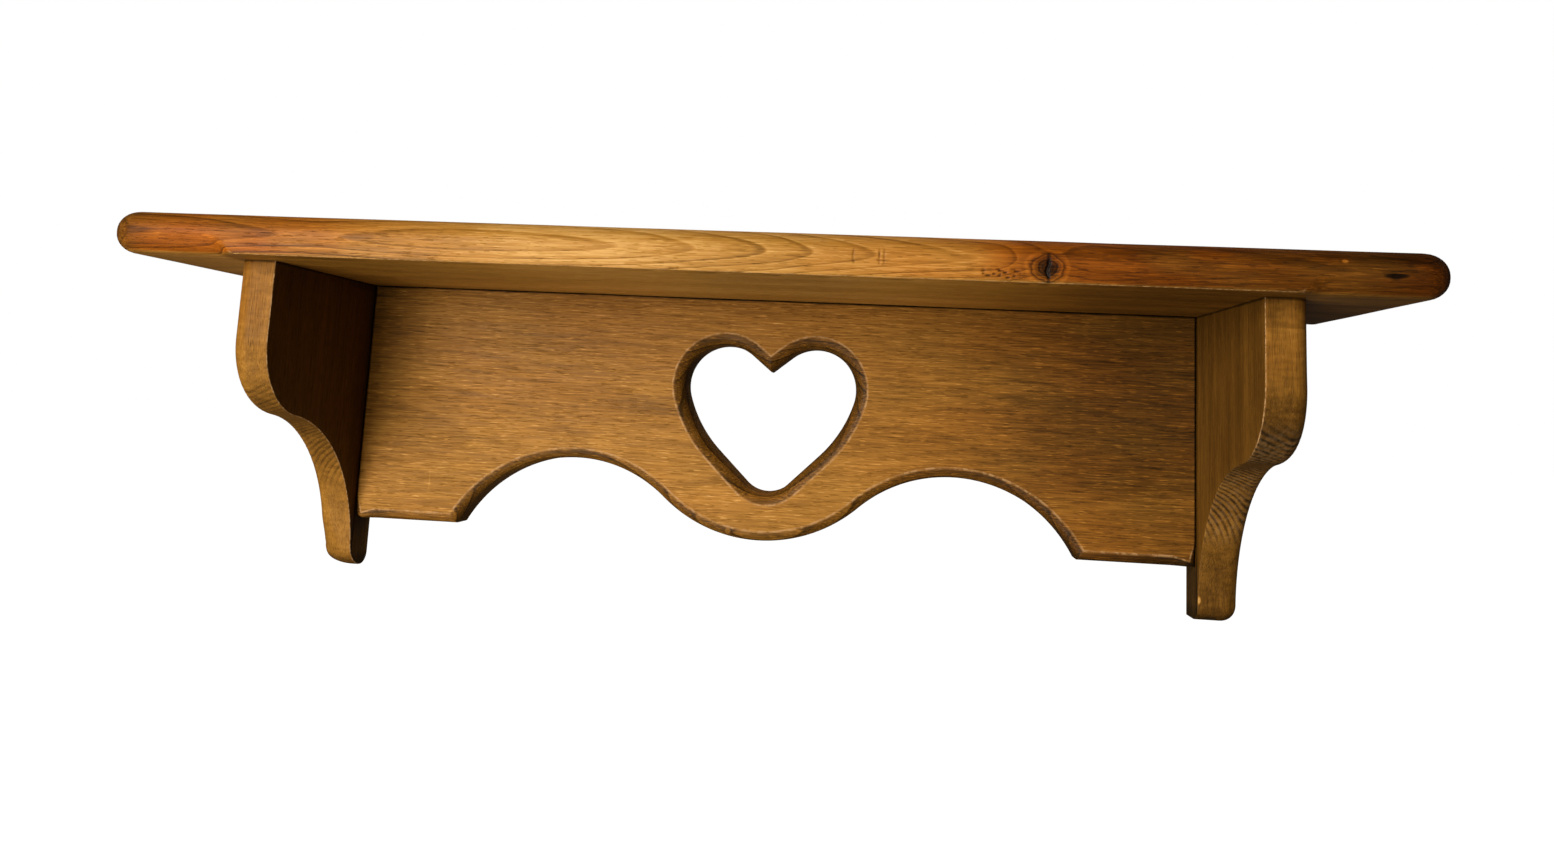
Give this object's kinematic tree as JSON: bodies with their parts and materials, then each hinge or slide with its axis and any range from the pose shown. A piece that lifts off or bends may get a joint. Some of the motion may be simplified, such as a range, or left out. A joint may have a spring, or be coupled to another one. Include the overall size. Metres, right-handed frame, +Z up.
{
  "type": "wall shelf",
  "caption": "Country-style stained pine wall shelf with S-curve side brackets and a back panel with a heart cut-out and a scalloped lower edge.",
  "frame": {"origin": "on the wall plane, midway between the two wall screws that the shelf hangs on, 20 mm below the underside of the top board", "axes": "+X along the shelf to the viewer's right, +Y into the wall, +Z up"},
  "size_m": [0.586, 0.14, 0.171],
  "materials": {
    "board_pine": "stained pine, semi-gloss, honey brown",
    "bracket_pine": "stained pine, semi-gloss, mid brown",
    "panel_pine": "stained pine, semi-gloss, golden brown",
    "dowel_beech": "raw beech",
    "hanger_zinc": "zinc-plated steel, satin"
  },
  "bodies": {
    "root": {"top_board": "board_pine", "left_bracket": "bracket_pine", "right_bracket": "bracket_pine", "back_panel": "panel_pine", "left_bracket_front_dowel": "dowel_beech", "left_bracket_back_dowel": "dowel_beech", "left_panel_upper_dowel": "dowel_beech", "left_panel_lower_dowel": "dowel_beech", "right_bracket_front_dowel": "dowel_beech", "right_bracket_back_dowel": "dowel_beech", "right_panel_upper_dowel": "dowel_beech", "right_panel_lower_dowel": "dowel_beech", "top_left_dowel": "dowel_beech", "top_middle_dowel": "dowel_beech", "top_right_dowel": "dowel_beech", "left_hanger_plate": "hanger_zinc", "right_hanger_plate": "hanger_zinc", "left_hanger_upper_screw": "hanger_zinc", "left_hanger_lower_screw": "hanger_zinc", "right_hanger_upper_screw": "hanger_zinc", "right_hanger_lower_screw": "hanger_zinc"}
  },
  "joints": []
}
